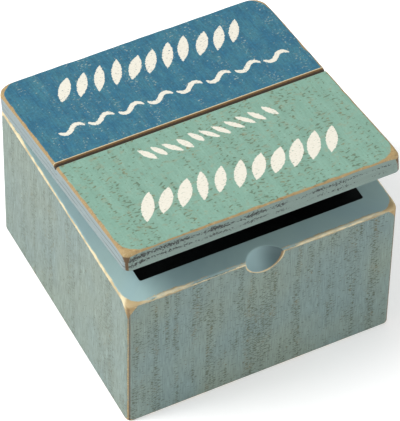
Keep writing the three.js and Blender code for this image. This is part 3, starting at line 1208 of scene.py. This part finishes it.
@dataclass
class LidBoard:
    """The lid board: a top sheet on a grid and a skirt carried round its rim.

    The sheet's places are unrolled ones. Near the rim they roll over the sanded edge: at w from the
    sheet's rim and for an edge radius r, a place lies r (1 - cos(w / r)) inside the outline and
    r (1 - sin(w / r)) below the top. In a corner's square, a place keeps the larger of its two
    distances past the corner's middle as its radius, which turns the square into a quarter disc.
    """

    low: Array
    high: Array
    hinge: HingeLine
    front_corner_radius: float = 2.6
    back_corner_radius: float = 5.5
    edge_radius: float = 0.95
    edge_wander: float = 0.15
    corner_extra: float = 0.5
    corner_spread: float = 3.0
    foot_radius: float = 0.7
    groove_from_front: float = 53.4
    groove_width: float = 2.4
    groove_depth: float = 1.3
    groove_softness: float = 0.16
    groove_margin: float = 1.7
    rim_step: float = 0.22
    top_step: float = 0.5
    groove_step: float = 0.14
    top_wear: float = 0.06
    paint_corner: float = 6.5
    under_shares: tuple[float, ...] = (0.93, 0.6, 0.25)
    far_down: float = 9.0
    side_rings: Stops = ((0, 0.1), (1, 0))
    foot_rings: int = 5
    edge_waves: int = 60
    extra_fade: float = 3.0
    front_from: float = -0.7

    @property
    def half(self) -> Array:
        """Half the board's width and depth."""
        return (self.high - self.low)[:2] / 2

    @property
    def groove_place(self) -> float:
        """How far the groove lies behind the lid's middle."""
        return self.groove_from_front - self.half[1]

    def groove(self, y: Array) -> Array:
        """The groove's depth: a V whose bottom and rims are softened by a root of squares."""
        off = np.hypot(y - self.groove_place, self.groove_softness)
        inside = self.groove_depth * (1 - off / (self.groove_width / 2))
        return 0.5 * (inside + np.hypot(inside, self.groove_softness))

    def sheet(self) -> Sheet:
        """Works the top sheet out, level and uncut, round its own middle.

        Returns:
            The sheet.
        """
        edge, half = self.edge_radius, self.half
        rolled = edge * math.pi / 2
        gained = rolled - edge
        reach = half + gained
        front, back = self.front_corner_radius + gained, self.back_corner_radius + gained
        fine, plain, cut = self.rim_step, self.top_step, self.groove_step
        before = self.groove_place - self.groove_margin
        behind = self.groove_place + self.groove_margin
        x_end, y_end = reach
        x_lines = spaced([(-x_end, fine), (back - x_end, plain), (x_end - back, fine), (x_end, 0)])
        y_lines = spaced(
            [(-y_end, fine), (front - y_end, plain), (before, cut), (behind, plain)]
            + [(y_end - back, fine), (y_end, 0)]
        )
        flat = np.stack(np.meshgrid(x_lines, y_lines, indexing="ij"), axis=-1).reshape(-1, 2)
        sign = np.where(flat < 0, -1.0, 1.0)
        corner = np.where(flat[:, 1] < 0, front, back)
        past = abs(flat) - (reach - corner[:, None])
        larger = past.max(-1)
        in_corner = (past.min(-1) > 0)[:, None]
        squeeze = larger / np.maximum(np.hypot(*past.T), TINY)
        bent = np.where(in_corner, past * squeeze[:, None], past)
        from_middle = bent / np.maximum(np.hypot(*bent.T), TINY)[:, None]
        straight_out = np.eye(2)[np.argmin(reach - abs(flat), axis=-1)]
        outward = sign * np.where(in_corner, from_middle, straight_out)

        from_rim = corner - larger
        angle = np.clip(from_rim / edge, 0, math.pi / 2)
        tip = np.hypot(*(half - np.minimum(abs(flat), half)).T) - BLUNTING * (corner - gained)
        bearing = np.arctan2(flat[:, 1], flat[:, 0]) / (2 * math.pi) + 0.5
        extra = self.edge_wander * wobble(bearing, 1.0, self.edge_waves, 2)
        extra = extra + self.corner_extra * np.exp(-((tip / self.corner_spread) ** 2))
        beyond = from_rim - rolled
        turned = 1 - np.cos(angle)
        fade = np.where(beyond < 0, turned, np.clip(1 - beyond / self.extra_fade, 0, 1))
        inside = np.where(beyond < 0, edge * turned, beyond + edge) + extra * fade
        unrolled = sign * (reach - corner[:, None] + bent)
        level = unrolled + (from_rim - gained - inside)[:, None] * outward
        return Sheet(
            numbers=np.arange(len(flat)).reshape(len(x_lines), len(y_lines)),
            places=np.column_stack([level, -(edge + extra) * (1 - np.sin(angle))]),
            outward=outward,
            from_rim=from_rim,
            paint=inside_rounded(unrolled, reach, self.paint_corner + gained),
        )

    def skin(self, strokes: StrokeRows) -> Skin:
        """Works the board out, cuts the groove and stands it open.

        Args:
            strokes: The strokes painted on it.

        Returns:
            The surface.
        """
        sheet = self.sheet()
        grid, count = sheet.numbers, len(sheet.places)
        thickness = self.high[2] - self.low[2] - self.top_wear
        rim = np.concatenate([grid[:-1, 0], grid[-1, :-1], grid[:0:-1, -1], grid[0, :0:-1]])
        out, outline, edge = sheet.outward[rim], sheet.places[rim, :2], -sheet.places[rim, 2]
        side = spaced(self.side_rings)[1:, None]
        foot = np.radians(np.linspace(0, 90, self.foot_rings + 1))[1:, None]
        side_fall = edge + side * (thickness - self.foot_radius - edge)
        foot_fall = thickness - self.foot_radius * (1 - np.sin(foot)) + 0 * edge
        fall = np.concatenate([side_fall, foot_fall])
        inset = np.concatenate([0 * side_fall, self.foot_radius * (1 - np.cos(foot)) + 0 * edge])
        walls = np.concatenate([outline - out * inset[..., None], -fall[..., None]], axis=-1)
        under = [walls[-1] * np.array([share, share, 1]) for share in self.under_shares]
        skirt = np.concatenate([walls, under])
        board = np.concatenate([sheet.places, skirt.reshape(-1, 3), [[0, 0, -thickness]]])

        numbers = count + np.arange(len(skirt) * len(rim)).reshape(-1, len(rim))
        rings = np.concatenate([rim[None], numbers])
        quads = [grid[:-1, :-1], grid[1:, :-1], grid[1:, 1:], grid[:-1, 1:]]
        top_faces = np.stack(quads, axis=-1).reshape(-1, 4)
        inner = numbers[-1]
        pole = np.full(len(inner), len(board) - 1)
        side_rings = len(side) + len(foot) // 2
        facing = np.repeat(np.arange(len(rings) - 1) < side_rings, len(rim))

        rest = len(board) - count
        cut = board.copy()
        cut[:, 2] -= self.groove(board[:, 1]) * (1 + board[:, 2] / thickness)
        quarter = self.edge_radius * math.pi / 4
        down = np.full(len(board), self.far_down)
        down[:count] = quarter - sheet.from_rim
        down[count : count + fall.size] = (fall - edge + quarter).ravel()
        to_edge = self.half - abs(board[:, :2])
        faces_front = out[:, 1] < self.front_from
        front = np.concatenate([np.zeros(count), np.tile(faces_front, len(numbers)), [0]])
        front[rim] = faces_front
        near = strokes.distance(sheet.places[:, 0], sheet.places[:, 1])
        middle = np.array([*(self.high + self.low)[:2] / 2, self.high[2] - self.top_wear])
        return Skin(
            points=self.hinge.turned(cut + middle, self.hinge.ajar),
            faces=[
                top_faces,
                ring_faces(rings)[:, ::-1],
                np.stack([np.roll(inner, -1), inner, pole], axis=-1),
            ],
            finishes=[
                np.full(len(top_faces), LidFinish.TOP.value),
                np.where(facing, LidFinish.SIDE.value, LidFinish.UNDER.value),
                np.full(len(inner), LidFinish.UNDER.value),
            ],
            measures={
                "board_mm": cut,
                "edge_mm": down,
                "paint_mm": np.append(sheet.paint, np.zeros(rest)),
                "turn_mm": to_edge[:, 0] - to_edge[:, 1],
                "foot_mm": board[:, 2] + thickness,
                "front": front,
                "stroke_mm": np.append(near, np.full(rest, strokes.margin)),
            },
        )


# Studio


@dataclass(frozen=True)
class Studio:
    """A pale floor, soft light and a camera at the picture's angle."""

    camera_place: tuple[float, float, float] = (-386.470, -736.391, 964.952)
    azimuth: float = -27.814
    elevation: float = 48.270
    roll: float = 1.2816
    lens: float = 324.545
    sensor: float = 36.0
    floor_reach: float = 6.0
    floor_colour: Colour = paint_chip(240, 240, 240)
    floor_glow: float = 0.25
    air_strength: float = 0.5
    aim: tuple[float, float, float] = (0, 0, 0.03)

    def camera(self) -> None:
        """Sets the camera up: right and up are turned by the roll about the line of sight."""
        a, e, r = (math.radians(v) for v in (self.azimuth, self.elevation, self.roll))
        back = Vector((math.sin(a) * math.cos(e), -math.cos(a) * math.cos(e), math.sin(e)))
        level = Vector((math.cos(a), math.sin(a), 0))
        upright = back.cross(level)
        right = math.cos(r) * level + math.sin(r) * upright
        up = math.cos(r) * upright - math.sin(r) * level
        data = bpy.data.cameras.new("camera")
        data.lens = self.lens
        data.sensor_width = self.sensor
        data.sensor_fit = "HORIZONTAL"
        data.clip_end = 50
        camera = bpy.data.objects.new("camera", data)
        turn = Matrix((right, up, back)).transposed().to_4x4()
        camera.matrix_world = Matrix.Translation(Vector(self.camera_place) * MM) @ turn
        bpy.context.scene.collection.objects.link(camera)
        bpy.context.scene.camera = camera

    def softbox(self, name: str, place: Sequence[float], size: float, power: float) -> None:
        """Hangs a square light that faces the box.

        Args:
            name: The light's name.
            place: Where it hangs, in metres.
            size: The length of its sides, in metres.
            power: Its power in watts.
        """
        data = bpy.data.lights.new(name, "AREA")
        data.shape = "SQUARE"
        data.size = size
        data.energy = power
        light = bpy.data.objects.new(name, data)
        turn = (Vector(self.aim) - Vector(place)).to_track_quat("-Z", "Y")
        light.matrix_world = Matrix.Translation(place) @ turn.to_matrix().to_4x4()
        bpy.context.scene.collection.objects.link(light)

    def floor(self) -> None:
        """Lays the floor, with an even matt finish."""
        recipe = Recipe("studio_floor")
        cloud = recipe.noise(recipe.place(), (0.01, 0.01, 0.01), 2.0, 0.5)
        colour = recipe.shade(self.floor_colour, cloud * 0.02 + 0.98)
        glow = {"Emission_Color": colour, "Emission_Strength": self.floor_glow}
        r = self.floor_reach
        mesh = bpy.data.meshes.new("studio_floor")
        mesh.from_pydata([(-r, -r, 0), (r, -r, 0), (r, r, 0), (-r, r, 0)], [], [(0, 1, 2, 3)])
        mesh.materials.append(recipe.finish(Base_Color=colour, Roughness=0.9, **glow))
        floor = bpy.data.objects.new("studio_floor", mesh)
        bpy.context.scene.collection.objects.link(floor)
        floor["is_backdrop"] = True

    def build(self) -> None:
        """Builds the studio."""
        self.camera()
        self.floor()
        self.softbox("key", (-1.15, 0.5, 1.35), size=1.0, power=38)
        self.softbox("fill", (1.2, -1.2, 1.1), size=1.4, power=18)
        world = bpy.data.worlds.new("studio_air")
        world.use_nodes = True
        background = next(n for n in world.node_tree.nodes if n.type == "BACKGROUND")
        background.inputs["Color"].default_value = (1, 1, 1, 1)
        background.inputs["Strength"].default_value = self.air_strength
        bpy.context.scene.world = world
        bpy.context.scene.view_settings.view_transform = "Standard"


# Assembly


BLACK = paint_chip(52, 54, 55)
UNDER = paint_chip(100, 116, 114)


def build_carcass() -> Piece:
    """Builds and dresses the walls.

    Returns:
        The piece.
    """
    sides = ("front", "back", "left", "right")
    wall = {side: np.array(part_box(f"{side}_wall")) / MM for side in sides}
    panel = np.array(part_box("floor_panel")) / MM
    walls = Carcass(
        low=np.array([wall["left"][0][0], wall["front"][0][1], 0.0]),
        high=np.array([wall["right"][1][0], wall["back"][1][1], wall["back"][1][2]]),
        inner_half=panel[1][0],
        floor_top=panel[1][2],
    )
    face_saw = SawMarks(4.0, 1.4, 0.46, 0.685, 0.14, 1.0)
    side_marks = {"mark": paint_chip(78, 88, 76), "rust": paint_chip(104, 102, 78)}
    side_saw = SawMarks(4.5, 1.3, 0.55, 0.685, 0.12, 1.7, **side_marks)
    # The upright walls' paints are darker than the ledge's paint, which the real box shares with
    # them: painted shade for light that falls mostly from above.
    shaded_face_paints = paint_chip(112, 128, 118), paint_chip(103, 124, 122)
    shaded_side_paints = paint_chip(114, 128, 118), paint_chip(110, 127, 122)
    ledge_paints = paint_chip(138, 163, 161), paint_chip(132, 158, 160)
    finishes = {
        Finish.FACE: SandedPaint("front_paint", *shaded_face_paints, face_saw),
        Finish.SIDE: SandedPaint("side_paint", *shaded_side_paints, side_saw),
        Finish.LEDGE: SandedPaint("ledge_paint", *ledge_paints),
        Finish.INSIDE: PlainPaint("inside_black", BLACK, 0.2, 0.7),
        Finish.UNDER: PlainPaint("under_paint", UNDER),
    }
    piece = walls.skin().to_object("box_walls", [finishes[kind].material() for kind in Finish])
    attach(piece, "box")
    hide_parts("front_wall", "back_wall", "left_wall", "right_wall")
    return piece


def build_lid(hinge: HingeLine) -> Piece:
    """Builds and dresses the lid board.

    Args:
        hinge: The line that it turns about.

    Returns:
        The piece.
    """
    low, high = hinge.shut_box("lid_board")
    board = LidBoard(low=low, high=high, hinge=hinge)
    finishes = {
        LidFinish.TOP: LidTop("lid_top_paint", board.groove_place, board.groove_width / 2),
        LidFinish.SIDE: LidSide("lid_side_paint"),
        LidFinish.UNDER: PlainPaint("lid_under_paint", paint_chip(112, 130, 132), 0.16),
    }
    materials = [finishes[kind].material() for kind in LidFinish]
    piece = board.skin(StrokeRows()).to_object("lid_top", materials)
    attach(piece, "lid")
    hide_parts("lid_board")
    return piece


def dress_carried_nodes() -> None:
    """Gives the solids that stay in view their finishes."""
    brass = DullBrass().material()
    black = PlainPaint("floor_black", BLACK, 0.2, 0.7, below=UNDER).material()
    for name, node in frame["nodes"].items():
        if "hinge" in name:
            node.material_slots[0].material = brass
        elif name == "floor_panel":
            node.material_slots[0].material = black


def main() -> None:
    """Builds the box around its frame and reports each piece."""
    logging.basicConfig(level=logging.INFO, format="%(message)s")
    Studio().build()
    joint = frame["joints"][0]
    hinge = HingeLine(
        point=np.array(joint["pos_m"]) / MM,
        axis=np.array(joint["axis"], float),
        ajar=-joint["range_deg"][0],
    )
    for piece in (build_carcass(), build_lid(hinge)):
        log.info("%s: %d faces", piece.name, len(piece.data.polygons))
    dress_carried_nodes()


def corners(box: Any) -> list[list[float]]:
    """A box's two corners as plain lists."""
    return [[float(v) for v in corner] for corner in box]


if __name__ == "__main__":
    main()
    {"cad": corners(cad_bounds), "visual": corners(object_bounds())}
